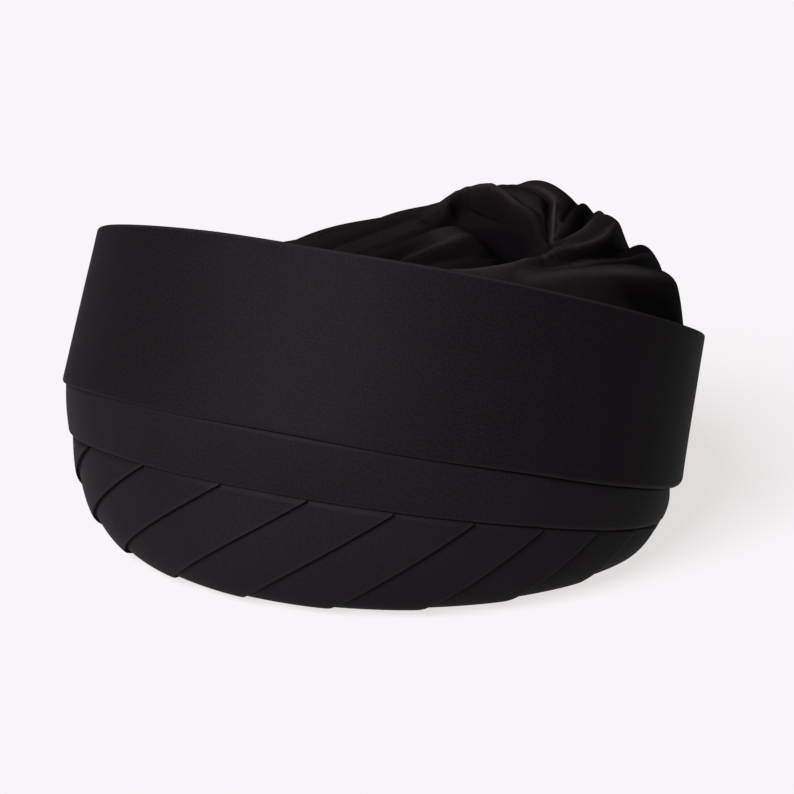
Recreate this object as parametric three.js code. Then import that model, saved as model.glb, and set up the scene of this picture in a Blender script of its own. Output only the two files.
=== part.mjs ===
import * as THREE from 'three';

// A black wound turban, empty, standing on the flat ring that goes round the head. Its high front faces -Y
// and the wearer's left is +X. Lengths are in millimetres. An angle round the turban, called turn, is 0 at
// the front and a quarter turn at +X.

// The flat ring at the foot, round the head opening
const footHalfWidth = 92.5;
const footHalfLength = 97.5;
const footCentreY = 6;
const footRingWidth = 6;
const footThickness = 4;
const footRounding = 1.2;

// The oval that the wraps follow, and how far it leans back for each millimetre of height
const wrapHalfWidth = 125.5;
const wrapHalfLength = 127.5;
const wrapCentreY = -27;
const wrapLean = 0.393;

// How squarely the base turns up from the foot, as the power of its curve
const baseRoundFront = 3.7;
const baseRoundBack = 1.9;

// The heights of the three cloth edges that show: at the front, at the sides, how much higher the left side
// is, how much the sides are lifted, and the least height that an edge levels out at
const rimLine = { front: 137.5, side: 98.5, leftLift: 2.5, sideLift: -0.7, least: 30 };
const upperLine = { front: 75.3, side: 39.9, leftLift: 0.9, sideLift: 0, least: 10 };
const lowerLine = { front: 51.5, side: 22.6, leftLift: 0.7, sideLift: 0, least: 4.5 };
const levellingHeight = 4;

// Cloth thicknesses, and how far each wrap stands proud of the one under it. The upper wrap is fuller at the
// back, by so much at its lower edge and fading out to its rim.
const baseWall = 4.5;
const lowerWall = 2.1;
const upperWall = 2.4;
const crownWall = 2.2;
const lowerStep = 1.9;
const upperStep = 1.2;
const upperBackFullness = 5.5;
const fullnessPower = 1.5;
const seatGap = 0.3;
const tuckDepth = 1.2;
const lowerOverlap = 6;
const baseOverlap = 3;

// Pleats of the base: they lean as they rise, and each lies over the next like a shingle
const pleatCount = 21;
const pleatStart = -44.7;
const pleatLean = 37;
const pleatRise = 1.7;
const pleatFadeHeight = 6;

// The crown: its top, how far up between the wraps its edge is seated, its skirt, and its fullness, which is
// greatest towards the left back
const crownHeight = 130;
const crownTop = { x: 0.11, y: 0.675 };
const crownSeatFront = 0.25;
const crownSeatBack = 0.86;
const crownSeatPower = 1.2;
const crownSkirtFoot = 0.15;
const crownFullTowards = 118;
const crownCurve = { slack: 1.2, full: 1.65 };
const crownShoulder = { slack: 1.1, full: 2.45 };

// Where the crown's cloth is gathered, as shares of the wrap's half width and half length
const gather = { x: 0.54, y: 0.14 };
const foldRise = 6;
const foldWidth = 10;
const foldFadeShare = 0.12;
const sharpness = 1.2;

// The crown's folds. Each runs from one place over a bend to another, given as shares of the wrap's half
// width and half length. Its half widths are shares of foldWidth and its rises of foldRise: a fold with a
// rise stands up, and one with a negative rise is a dent. A sharp one is a crease.
const foldColumns = ['name', 'form', 'fromX', 'fromY', 'bendX', 'bendY', 'toX', 'toY',
  'widthFrom', 'widthTo', 'riseFrom', 'riseTo'];
const foldRows = [
  ['petal over the back', 'round', 0.56, 0.13, 0.39, 0.53, 0.03, 0.90, 0.6, 1.0, 0.5, 0.95],
  ['petal beside it', 'round', 0.54, 0.19, 0.49, 0.38, 0.30, 0.85, 0.6, 1.0, 0.4, 0.6],
  ['broad petal', 'round', 0.58, 0.08, 0.59, 0.30, 0.46, 0.82, 0.7, 1.3, 0.5, 0.9],
  ['side petal', 'round', 0.66, 0.11, 0.70, 0.35, 0.64, 0.67, 0.5, 1.1, 0.25, 0.65],
  ['side petal edge', 'round', 0.63, 0.01, 0.73, 0.11, 0.75, 0.56, 0.3, 0.6, 0.25, 0.5],
  ['lowest petal', 'round', 0.61, -0.08, 0.80, 0.03, 0.83, 0.49, 0.7, 1.5, 0.4, 1.15],
  ['lip', 'round', 0.47, -0.20, 0.61, -0.13, 0.56, 0.15, 0.6, 0.6, 0.4, 0.4],
  ['crease over the lowest petal', 'sharp', 0.68, 0.15, 0.75, 0.16, 0.76, 0.52, 0.3, 0.5, -0.15, -0.6],
  ['crease behind the broad petal', 'sharp', 0.52, 0.20, 0.53, 0.27, 0.38, 0.78, 0.4, 0.6, -0.35, -0.8],
  ['crease between petals', 'sharp', 0.45, 0.35, 0.41, 0.45, 0.21, 0.88, 0.3, 0.4, -0.15, -0.5],
  ['swirl', 'sharp', 0.52, 0.19, 0.39, 0.44, 0.08, 0.71, 0.3, 0.35, -0.8, -0.5],
  ['tongue', 'round', 0.55, 0.11, 0.41, 0.34, 0.20, 0.44, 0.7, 1.2, 0.5, 1.0],
  ['arch', 'round', 0.20, 0.44, -0.08, 0.63, 0.06, 0.22, 1.2, 0.9, 1.0, 0.8],
  ['arch to the front', 'round', 0.04, 0.25, 0.01, 0.01, -0.15, -0.47, 1.0, 0.5, 0.7, 0.25],
  ['hollow under the arch', 'round', 0.33, 0.33, 0.05, 0.45, 0.10, 0.20, 0.8, 0.6, -0.8, -0.6],
  ['hollow', 'round', 0.43, -0.08, 0.39, 0.01, 0.34, 0.23, 1.4, 1.7, -0.8, -1.3],
  ['pocket', 'round', 0.50, -0.02, 0.50, 0.02, 0.49, 0.15, 0.7, 0.5, -1.3, -1.0],
  ['dent', 'round', 0.33, -0.14, 0.33, 0.01, 0.30, 0.08, 0.7, 0.6, -0.65, -0.8],
  ['first drawn fold', 'round', -0.10, -0.47, -0.02, -0.07, 0.06, 0.02, 0.4, 0.6, 0.4, 0.4],
  ['second drawn fold', 'round', 0.08, -0.47, 0.10, -0.09, 0.29, 0.09, 0.5, 0.8, 0.5, 0.5],
  ['third drawn fold', 'round', 0.25, -0.43, 0.25, -0.17, 0.29, 0.09, 0.5, 0.7, 0.5, 0.6],
  ['first drawn crease', 'sharp', -0.02, -0.39, -0.02, -0.07, 0.09, 0.00, 0.3, 0.5, -0.4, -0.35],
  ['second drawn crease', 'sharp', 0.14, -0.35, 0.12, -0.13, 0.16, -0.05, 0.3, 0.3, -0.35, -0.25],
  ['fold along the rim', 'round', 0.26, -0.24, 0.31, -0.18, 0.45, -0.20, 0.4, 0.3, 0.4, 0.25],
  ['back fold', 'round', 0.02, 0.66, -0.10, 0.78, -0.16, 0.94, 0.8, 1.0, 0.6, 0.65],
  ['back right fold', 'round', -0.06, 0.52, -0.30, 0.69, -0.41, 0.85, 0.9, 1.1, 0.25, 0.7],
  ['right fold behind', 'round', -0.11, 0.35, -0.41, 0.49, -0.67, 0.66, 1.0, 1.2, 0.0, 0.6],
  ['right fold', 'round', -0.13, 0.17, -0.48, 0.22, -0.84, 0.35, 1.0, 1.2, 0.0, 0.5],
  ['right fold before', 'round', -0.14, -0.03, -0.48, -0.11, -0.86, -0.08, 0.9, 1.1, 0.0, 0.4],
  ['front right fold', 'round', -0.16, -0.22, -0.41, -0.39, -0.70, -0.44, 0.8, 0.9, 0.0, 0.35],
  ['front fold', 'round', -0.11, -0.31, -0.24, -0.52, -0.40, -0.67, 0.6, 0.8, 0.3, 0.4],
  ['front left fold', 'round', 0.29, -0.28, 0.30, -0.49, 0.27, -0.71, 0.6, 0.8, 0.4, 0.4],
  ['left fold before', 'round', 0.49, -0.24, 0.64, -0.39, 0.69, -0.49, 0.8, 0.9, 0.4, 0.5],
];

// Mesh fineness: the columns across a pleat and how much of its rise each has, the rows up a pleat and up
// the lining behind it, as shares, and the columns and rings of the other pieces
const pleatSection = [
  { across: 0.03, rise: 0.02 },
  { across: 0.3, rise: 0.4 },
  { across: 0.65, rise: 0.8 },
  { across: 0.9, rise: 1 },
  { across: 0.985, rise: 0.6 },
];
const pleatRows = [0, 0.1, 0.25, 0.4, 0.55, 0.7, 0.85, 0.93, 1];
const liningRows = [1, 0.8, 0.55, 0.3, 0.12, 0];
const liningColumns = 42;
const hemColumns = 56;
const bandColumns = 66;
const bandRows = [0.4, 0.8];
const crownColumns = 76;
const crownRings = 16;
const crownRingPower = 0.9;
const crownCrowding = { amount: 0.45, towards: 130 };
const foldSteps = 24;
const slopeStep = 0.5;
const riseStep = 0.01;
const leanSteps = 12;
const halvings = 40;

// Cloth colours, by piece
const cloths = {
  pleated_base: 0x242124,
  base_hem: 0x221f22,
  lower_band: 0x272327,
  upper_band: 0x28252a,
  crown_drape: 0x211e20,
};

// The faces of each rounded cloth edge lie between these angles
const edgeAngles = [0, Math.PI / 3, 2 * Math.PI / 3, Math.PI];

// Where each piece's faces lie outside the wrap's oval, from the outermost wrap inwards
const upperOut = lowerStep + upperStep;
const upperIn = upperOut - upperWall;
const lowerOut = lowerStep;
const lowerTuckedOut = upperIn - seatGap;
const lowerIn = lowerTuckedOut - lowerWall;
const baseTuckedOut = lowerIn - seatGap;
const baseIn = baseTuckedOut - baseWall;
const crownOut = upperIn - seatGap;
const crownIn = crownOut - crownWall;

const degrees = Math.PI / 180;
const fullTurn = 2 * Math.PI;

function mix(a, b, share) {
  return a + (b - a) * share;
}

function smooth(value) {
  const share = Math.min(Math.max(value, 0), 1);
  return share * share * (3 - 2 * share);
}

function turns(count) {
  return Array.from({ length: count }, (_, i) => (i / count) * fullTurn);
}

// Height of a cloth edge at a turn
function lineHeight(line, turn) {
  const height = line.side + (line.front - line.side) * Math.cos(turn) + line.leftLift * Math.sin(turn)
    + line.sideLift * Math.sin(turn) ** 2;
  return line.least + levellingHeight * Math.log1p(Math.exp((height - line.least) / levellingHeight));
}

// A point of the leaning wall that the upper wrap follows, moved out by out
function wallPoint(turn, z, out) {
  return new THREE.Vector3(
    (wrapHalfWidth + out) * Math.sin(turn),
    wrapCentreY + wrapLean * z - (wrapHalfLength + out) * Math.cos(turn),
    z,
  );
}

function footPoint(turn, z, out) {
  return new THREE.Vector3(
    (footHalfWidth + out) * Math.sin(turn),
    footCentreY - (footHalfLength + out) * Math.cos(turn),
    z,
  );
}

// Power of the base's curve at a turn
function roundness(turn) {
  return mix(baseRoundBack, baseRoundFront, (1 + Math.cos(turn)) / 2);
}

// A point of the rounded base, from a foot to the wall at the upper wrap's lower edge. The rise runs from 0
// at the foot to a quarter turn at that edge.
function roundedPoint(turn, rise, foot, floor, out) {
  const power = 2 / roundness(turn);
  const top = lineHeight(upperLine, turn);
  const wall = wallPoint(turn, top, out);
  const reach = Math.sin(rise) ** power;
  const lift = 1 - Math.cos(rise) ** power;
  return new THREE.Vector3(mix(foot.x, wall.x, reach), mix(foot.y, wall.y, reach), mix(floor, top, lift));
}

// Rise at which the outer face of the base passes a height
function riseAt(turn, z) {
  const share = Math.min(z / lineHeight(upperLine, turn), 1);
  return Math.acos((1 - share) ** (roundness(turn) / 2));
}

// A point of the turban's side at any height: on the rounded base below the upper wrap, on the wall above it
function sidePoint(turn, z, out) {
  if (z >= lineHeight(upperLine, turn)) {
    return wallPoint(turn, z, out);
  }
  return roundedPoint(turn, riseAt(turn, z), footPoint(turn, 0, out), 0, out);
}

// A closed body made of rings of points. Rings may have different numbers of points.
class RingBody {
  constructor() {
    this.points = [];
    this.triangles = [];
  }

  ring(points) {
    const first = this.points.length;
    this.points.push(...points);
    return Array.from(points, (_, i) => first + i);
  }

  // Joins two rings with a strip of triangles, each time stepping along the ring that lags behind
  join(lower, upper) {
    let i = 0;
    let j = 0;
    while (i < lower.length || j < upper.length) {
      const a = lower[i % lower.length];
      const b = upper[j % upper.length];
      if (j >= upper.length || (i < lower.length && (i + 1) * upper.length <= (j + 1) * lower.length)) {
        i += 1;
        this.triangles.push(a, lower[i % lower.length], b);
      } else {
        j += 1;
        this.triangles.push(a, upper[j % upper.length], b);
      }
    }
  }

  joinAll(rings) {
    for (let k = 1; k < rings.length; k += 1) {
      this.join(rings[k - 1], rings[k]);
    }
  }

  // Closes a ring with a fan of triangles to one point
  close(ring, point, outward) {
    const [centre] = this.ring([point]);
    ring.forEach((a, i) => {
      const b = ring[(i + 1) % ring.length];
      this.triangles.push(...(outward ? [a, b, centre] : [b, a, centre]));
    });
  }

  mesh(name) {
    const geometry = new THREE.BufferGeometry().setFromPoints(this.points);
    geometry.setIndex(this.triangles);
    geometry.computeVertexNormals();
    const material = new THREE.MeshStandardMaterial({ color: cloths[name], roughness: 0.9, metalness: 0 });
    const mesh = new THREE.Mesh(geometry, material);
    mesh.name = name;
    return mesh;
  }
}

// Points round a folded edge of cloth, from its outer face to its inner one. It turns down at a lower edge.
function foldedEdge(count, line, outer, inner, down) {
  return edgeAngles.map((angle) => turns(count).map((turn) => {
    const radius = (outer(turn) - inner) / 2;
    const bulge = radius - radius * Math.sin(angle);
    const z = lineHeight(line, turn) + (down ? bulge : -bulge);
    return sidePoint(turn, z, inner + radius + radius * Math.cos(angle));
  }));
}

// The pleated base

// Height at which the pleats start to tuck in under the lower wrap
function baseTop(turn) {
  return lineHeight(lowerLine, turn) - tuckDepth;
}

// A point of the base under its pleats, at a share of the way up to where they tuck in
function underPleat(turn, share, extraRise) {
  return roundedPoint(turn, riseAt(turn, baseTop(turn)) * share + extraRise, footPoint(turn, 0, 0), 0, 0);
}

// The turn that a leaning pleat line reaches at a share of the way up
function leaningTurn(start, share) {
  let turn = start;
  for (let step = 0; step < leanSteps; step += 1) {
    turn = start + pleatLean * degrees * (underPleat(turn, share, 0).z / lowerLine.front);
  }
  return turn;
}

// A point of the pleated face. The pleat stands out along the curve's own normal and fades out at the foot.
function pleatPoint(start, share, riseShare) {
  const turn = leaningTurn(start, share);
  const here = underPleat(turn, share, 0);
  const next = underPleat(turn, share, riseStep);
  const up = next.z - here.z;
  const outwards = Math.hypot(next.x - here.x, next.y - here.y);
  const length = Math.hypot(up, outwards);
  const stand = pleatRise * riseShare * smooth(here.z / pleatFadeHeight);
  here.x += Math.sin(turn) * stand * up / length;
  here.y -= Math.cos(turn) * stand * up / length;
  here.z -= stand * outwards / length;
  return here;
}

function pleatedBase() {
  const body = new RingBody();
  const columns = Array.from({ length: pleatCount }, (_, pleat) => pleatSection.map(({ across, rise }) => (
    { start: (pleatStart + (pleat + across) * (360 / pleatCount)) * degrees, rise }))).flat();
  const face = pleatRows.map((share) => body.ring(columns.map(({ start, rise }) => (
    pleatPoint(start, share, rise)))));
  const tucked = (line, extra) => body.ring(columns.map(({ start }) => {
    const turn = leaningTurn(start, 1);
    return sidePoint(turn, lineHeight(line, turn) + extra, baseTuckedOut);
  }));
  const outside = [
    ...face,
    tucked(lowerLine, seatGap),
    tucked(upperLine, 0),
    tucked(upperLine, baseOverlap),
  ];

  // The lining's points lean as the pleats do, so that no part of the wall is twisted
  const lining = (share, point) => body.ring(turns(liningColumns).map((turn) => (
    point(leaningTurn(turn + pleatStart * degrees, share)))));
  const top = lining(1, (turn) => wallPoint(turn, lineHeight(upperLine, turn) + baseOverlap, baseIn));
  const inside = liningRows.map((share) => lining(share, (turn) => roundedPoint(
    turn,
    share * (Math.PI / 2),
    footPoint(turn, 0, seatGap),
    footThickness,
    baseIn,
  )));
  body.joinAll([...outside, top, ...inside, face[0]]);
  return body.mesh('pleated_base');
}

// The hem round the head opening, where the pleats' ends are turned in. The turban stands on it.
function baseHem() {
  const body = new RingBody();
  const row = (z, out) => body.ring(turns(hemColumns).map((turn) => footPoint(turn, z, out)));
  const inner = -footRingWidth;
  const around = [
    row(0, -seatGap),
    row(footThickness, -seatGap),
    row(footThickness, inner + footRounding),
    row(footThickness - footRounding, inner),
    row(footRounding, inner),
    row(0, inner + footRounding),
  ];
  body.joinAll([...around, around[0]]);
  return body.mesh('base_hem');
}

// The lower wrap: folded at its lower edge and tucked in under the upper wrap
function lowerBand() {
  const body = new RingBody();
  const row = (height, out) => body.ring(turns(bandColumns).map((turn) => (
    sidePoint(turn, height(turn), out))));
  const tuck = (turn) => lineHeight(upperLine, turn);
  const top = (turn) => tuck(turn) + lowerOverlap;
  const shown = (share) => (turn) => mix(
    lineHeight(lowerLine, turn) + (lowerOut - lowerIn) / 2,
    tuck(turn) - tuckDepth,
    share,
  );
  const outer = [...bandRows, 1].map((share) => row(shown(share), lowerOut));
  const tucked = [
    row(tuck, lowerTuckedOut),
    row(top, lowerTuckedOut),
    row(top, lowerIn),
    row(tuck, lowerIn),
  ];
  const inner = bandRows.map((share) => row(shown(share), lowerIn)).reverse();
  const edge = foldedEdge(bandColumns, lowerLine, () => lowerOut, lowerIn, true);
  const around = [...outer, ...tucked, ...inner, ...edge.map((points) => body.ring(points)).reverse()];
  body.joinAll([...around, around[0]]);
  return body.mesh('lower_band');
}

// How far out the upper wrap's outer face lies, at a share of the way up it
function upperFace(turn, share) {
  return upperOut + upperBackFullness * (1 - share) * ((1 - Math.cos(turn)) / 2) ** fullnessPower;
}

// The upper wrap: folded at its lower edge and at its free rim
function upperBand() {
  const body = new RingBody();
  const rings = (points) => points.map((ring) => body.ring(ring));
  const middle = (out) => body.ring(turns(bandColumns).map((turn) => (
    wallPoint(turn, mix(lineHeight(upperLine, turn), lineHeight(rimLine, turn), 0.5), out(turn)))));
  const rim = foldedEdge(bandColumns, rimLine, (turn) => upperFace(turn, 1), upperIn, false);
  const hem = foldedEdge(bandColumns, upperLine, (turn) => upperFace(turn, 0), upperIn, true);
  const around = [middle((turn) => upperFace(turn, 0.5)), ...rings(rim), middle(() => upperIn),
    ...rings(hem).reverse()];
  body.joinAll([...around, around[0]]);
  return body.mesh('upper_band');
}

// The crown

// Height above which the crown's skirt lies clear of what is tucked under the upper wrap
function skirtSeat(turn) {
  return lineHeight(upperLine, turn) + lowerOverlap + seatGap;
}

function crownEdgeHeight(turn) {
  const share = mix(crownSeatBack, crownSeatFront, ((1 + Math.cos(turn)) / 2) ** crownSeatPower);
  return mix(skirtSeat(turn), lineHeight(rimLine, turn), share);
}

function crownEdge(turn, out) {
  return wallPoint(turn, crownEdgeHeight(turn), out);
}

// The turn at which the crown's edge lies in the plan direction of a point seen from a centre
function turnTowards(centre, x, y) {
  const side = (turn) => {
    const edge = crownEdge(turn, crownOut);
    return (x - centre.x) * (edge.y - centre.y) - (y - centre.y) * (edge.x - centre.x);
  };
  let low = Math.atan2(x - centre.x, centre.y - y) - Math.PI / 2;
  let high = low + Math.PI;
  for (let step = 0; step < halvings; step += 1) {
    const middle = (low + high) / 2;
    if (side(middle) < 0) {
      low = middle;
    } else {
      high = middle;
    }
  }
  return (low + high) / 2;
}

// Height of the crown's smooth dome over a plan point, and the share of the way out to its edge
function dome(x, y) {
  const centre = { x: crownTop.x * wrapHalfWidth, y: crownTop.y * wrapHalfLength };
  const turn = turnTowards(centre, x, y);
  const edge = crownEdge(turn, crownOut);
  const reach = Math.hypot(x - centre.x, y - centre.y) / Math.hypot(edge.x - centre.x, edge.y - centre.y);
  const share = Math.min(reach, 1);
  const direction = Math.atan2(x - centre.x, centre.y - y);
  const fullness = (1 + Math.cos(direction - crownFullTowards * degrees)) / 2;
  const curve = mix(crownCurve.slack, crownCurve.full, fullness);
  const shoulder = mix(crownShoulder.slack, crownShoulder.full, fullness);
  return { z: mix(edge.z, crownHeight, (1 - share ** curve) ** (1 / shoulder)), share };
}

// The folds, with the points that each one runs through
const folds = foldRows.map((row) => {
  const fold = Object.fromEntries(foldColumns.map((column, i) => [column, row[i]]));
  const place = (x, y) => new THREE.Vector2(x * wrapHalfWidth, y * wrapHalfLength);
  const curve = new THREE.QuadraticBezierCurve(
    place(fold.fromX, fold.fromY),
    place(fold.bendX, fold.bendY),
    place(fold.toX, fold.toY),
  );
  fold.line = curve.getPoints(foldSteps);
  return fold;
});

// How far the folds lift or sink the cloth over a plan point: the highest fold there less the deepest dent
function foldHeight(x, y) {
  let highest = 0;
  let deepest = 0;
  for (const fold of folds) {
    let nearest = Infinity;
    let along = 0;
    fold.line.forEach((point, i) => {
      const distance = Math.hypot(point.x - x, point.y - y);
      if (distance < nearest) {
        nearest = distance;
        along = i / foldSteps;
      }
    });
    const ratio = nearest / (foldWidth * mix(fold.widthFrom, fold.widthTo, along));
    const form = fold.form === 'sharp' ? Math.exp(-sharpness * ratio) : Math.exp(-ratio * ratio);
    const height = foldRise * mix(fold.riseFrom, fold.riseTo, along) * form;
    highest = Math.max(highest, height);
    deepest = Math.min(deepest, height);
  }
  return highest + deepest;
}

// A point of the crown's outer face and the smooth dome's normal there
function crownPoint(x, y) {
  const { z, share } = dome(x, y);
  const slopeX = (dome(x + slopeStep, y).z - dome(x - slopeStep, y).z) / (2 * slopeStep);
  const slopeY = (dome(x, y + slopeStep).z - dome(x, y - slopeStep).z) / (2 * slopeStep);
  const fade = 1 - Math.min(Math.max((share - 1 + foldFadeShare) / foldFadeShare, 0), 1) ** 2;
  return {
    point: new THREE.Vector3(x, y, z + foldHeight(x, y) * fade),
    normal: new THREE.Vector3(-slopeX, -slopeY, 1).normalize(),
  };
}

// Columns run from the gather to the edge, closer together where the petals fan out
function crownTurns() {
  const { amount, towards } = crownCrowding;
  return turns(crownColumns).map((turn) => turn - amount * Math.sin(turn - towards * degrees));
}

function crownDrape() {
  const body = new RingBody();
  const centre = { x: gather.x * wrapHalfWidth, y: gather.y * wrapHalfLength };
  const columns = crownTurns();
  const top = crownPoint(centre.x, centre.y);
  const outer = [];
  const inner = [];
  for (let ring = 1; ring < crownRings; ring += 1) {
    const share = (ring / crownRings) ** crownRingPower;
    const places = columns.map((turn) => {
      const edge = crownEdge(turn, crownOut);
      return crownPoint(mix(centre.x, edge.x, share), mix(centre.y, edge.y, share));
    });
    outer.push(body.ring(places.map(({ point }) => point)));
    inner.push(body.ring(places.map(({ point, normal }) => (
      point.clone().addScaledVector(normal, -crownWall)))));
  }
  const skirt = (share, out, drop) => body.ring(columns.map((turn) => (
    wallPoint(turn, mix(skirtSeat(turn), crownEdgeHeight(turn), share) - drop, out))));
  const around = [...inner, skirt(1, crownIn, crownWall), skirt(crownSkirtFoot, crownIn, 0),
    skirt(crownSkirtFoot, crownOut, 0), skirt(1, crownOut, 0), ...outer.slice().reverse()];
  body.joinAll(around);
  body.close(around[0], top.point.clone().addScaledVector(top.normal, -crownWall), false);
  body.close(around.at(-1), top.point, true);
  return body.mesh('crown_drape');
}

const turban = new THREE.Group();
turban.add(pleatedBase(), baseHem(), lowerBand(), upperBand(), crownDrape());

// The origin is on the floor, under the middle of the turban
const middle = new THREE.Box3().setFromObject(turban).getCenter(new THREE.Vector3());
turban.position.set(-middle.x, -middle.y, 0);

export default turban;
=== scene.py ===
"""A black wound turban, empty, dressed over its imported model.

Its high front faces -Y and the wearer's left is +X. The classes hold lengths in millimetres, and a mesh
is turned to metres when it is made. An angle round the turban, called turn, is 0 at the front and a
quarter turn at +X. Every piece is cloth: each one is a closed wall made of rings of points, laid out in
the order in which the cloth runs, with a UV map in metres along the cloth for the weave to follow.
"""

import logging
import math
from dataclasses import dataclass
from enum import Enum

import bpy
import numpy as np
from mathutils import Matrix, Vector

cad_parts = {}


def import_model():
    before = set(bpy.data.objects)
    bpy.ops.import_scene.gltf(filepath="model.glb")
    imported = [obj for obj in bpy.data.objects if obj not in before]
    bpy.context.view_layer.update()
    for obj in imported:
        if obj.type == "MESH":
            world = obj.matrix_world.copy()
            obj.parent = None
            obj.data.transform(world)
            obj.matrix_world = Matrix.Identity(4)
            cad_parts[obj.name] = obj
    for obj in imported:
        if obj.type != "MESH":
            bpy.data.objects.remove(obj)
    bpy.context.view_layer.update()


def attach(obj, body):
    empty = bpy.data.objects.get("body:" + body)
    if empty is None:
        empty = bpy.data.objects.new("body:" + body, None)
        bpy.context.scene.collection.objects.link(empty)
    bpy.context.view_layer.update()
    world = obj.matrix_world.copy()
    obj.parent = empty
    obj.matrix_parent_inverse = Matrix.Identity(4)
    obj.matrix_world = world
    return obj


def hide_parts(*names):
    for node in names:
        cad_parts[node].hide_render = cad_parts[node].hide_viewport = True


LOG = logging.getLogger("turban")
MM = 0.001
FULL_TURN = 2 * math.pi
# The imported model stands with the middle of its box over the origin, which moves the form back this far.
FORM_ORIGIN = Vector((0, 0.511, 0))
# A colour Mix node has several sockets of one name, so its two colours and its result go by number.
FIRST_COLOUR, SECOND_COLOUR, MIXED_COLOUR = 6, 7, 2


def mix(a: np.ndarray | float, b: np.ndarray | float, share: np.ndarray | float) -> np.ndarray:
    """A value between a and b."""
    return a + (b - a) * share


def smooth(value: np.ndarray) -> np.ndarray:
    """A soft step from 0 to 1."""
    share = np.clip(value, 0, 1)
    return share * share * (3 - 2 * share)


def evened(rings: np.ndarray) -> np.ndarray:
    """Averages values a little with their neighbours, along the rings and across them.

    Args:
        rings: The values, by ring and column.

    Returns:
        The evened values.
    """
    rings = (np.roll(rings, 1, axis=1) + 2 * rings + np.roll(rings, -1, axis=1)) / 4
    rings[1:-1] = (rings[:-2] + 2 * rings[1:-1] + rings[2:]) / 4
    return rings


def turns(count: int) -> np.ndarray:
    """Evenly spaced turns round the turban."""
    return np.arange(count) / count * FULL_TURN


def spread(values: tuple[float, ...], along: np.ndarray) -> np.ndarray:
    """Values spread evenly from 0 to 1, read at shares of the way along."""
    return np.interp(along, np.linspace(0, 1, len(values)), values)


def towards(azimuth: float, elevation: float) -> Vector:
    """The direction of what stands so many degrees round from the front, to the left, and so many up."""
    a, e = math.radians(azimuth), math.radians(elevation)
    return Vector((math.sin(a) * math.cos(e), -math.cos(a) * math.cos(e), math.sin(e)))


def ripple(u: np.ndarray, v: np.ndarray, seed: int, period: int, cells: int = 64) -> np.ndarray:
    """Smooth seeded waviness over a plane, for the small unevenness of laid cloth.

    Args:
        u: First coordinate, one unit to a wave.
        v: Second coordinate, one unit to a wave.
        seed: Chooses the pattern.
        period: Whole number of units after which it repeats along u.
        cells: How many values the pattern has each way, no fewer than the period.

    Returns:
        Heights between -1 and 1.
    """
    table = np.random.default_rng(seed).uniform(-1, 1, (cells, cells))
    column, row = np.floor(u).astype(int), np.floor(v).astype(int)
    a, b = smooth(u - column), smooth(v - row)
    left, right = column % period, (column + 1) % period
    here, above = row % cells, (row + 1) % cells
    low = mix(table[left, here], table[right, here], a)
    high = mix(table[left, above], table[right, above], a)
    return mix(low, high, b)


@dataclass(frozen=True)
class Waver:
    """A small waviness of laid cloth: its height, how many waves go round, and its pattern's seed."""

    height: float
    waves: int
    seed: int

    def at(self, turn: np.ndarray, across: float = 0.0) -> np.ndarray:
        """Its height at each turn, along a line that lies so many waves across the cloth."""
        along = turn / FULL_TURN * self.waves
        return self.height * ripple(along, turn * 0 + across, self.seed, self.waves)


@dataclass(frozen=True)
class EdgeLine:
    """The height of one cloth edge round the turban: high in front, level where it reaches its least."""

    front: float
    side: float
    left_lift: float
    side_lift: float
    least: float
    levelling: float = 4.0

    def height(self, turn: np.ndarray) -> np.ndarray:
        """The edge's height at each turn."""
        height = (
            self.side
            + (self.front - self.side) * np.cos(turn)
            + self.left_lift * np.sin(turn)
            + self.side_lift * np.sin(turn) ** 2
        )
        return self.least + self.levelling * np.logaddexp(0, (height - self.least) / self.levelling)


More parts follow.
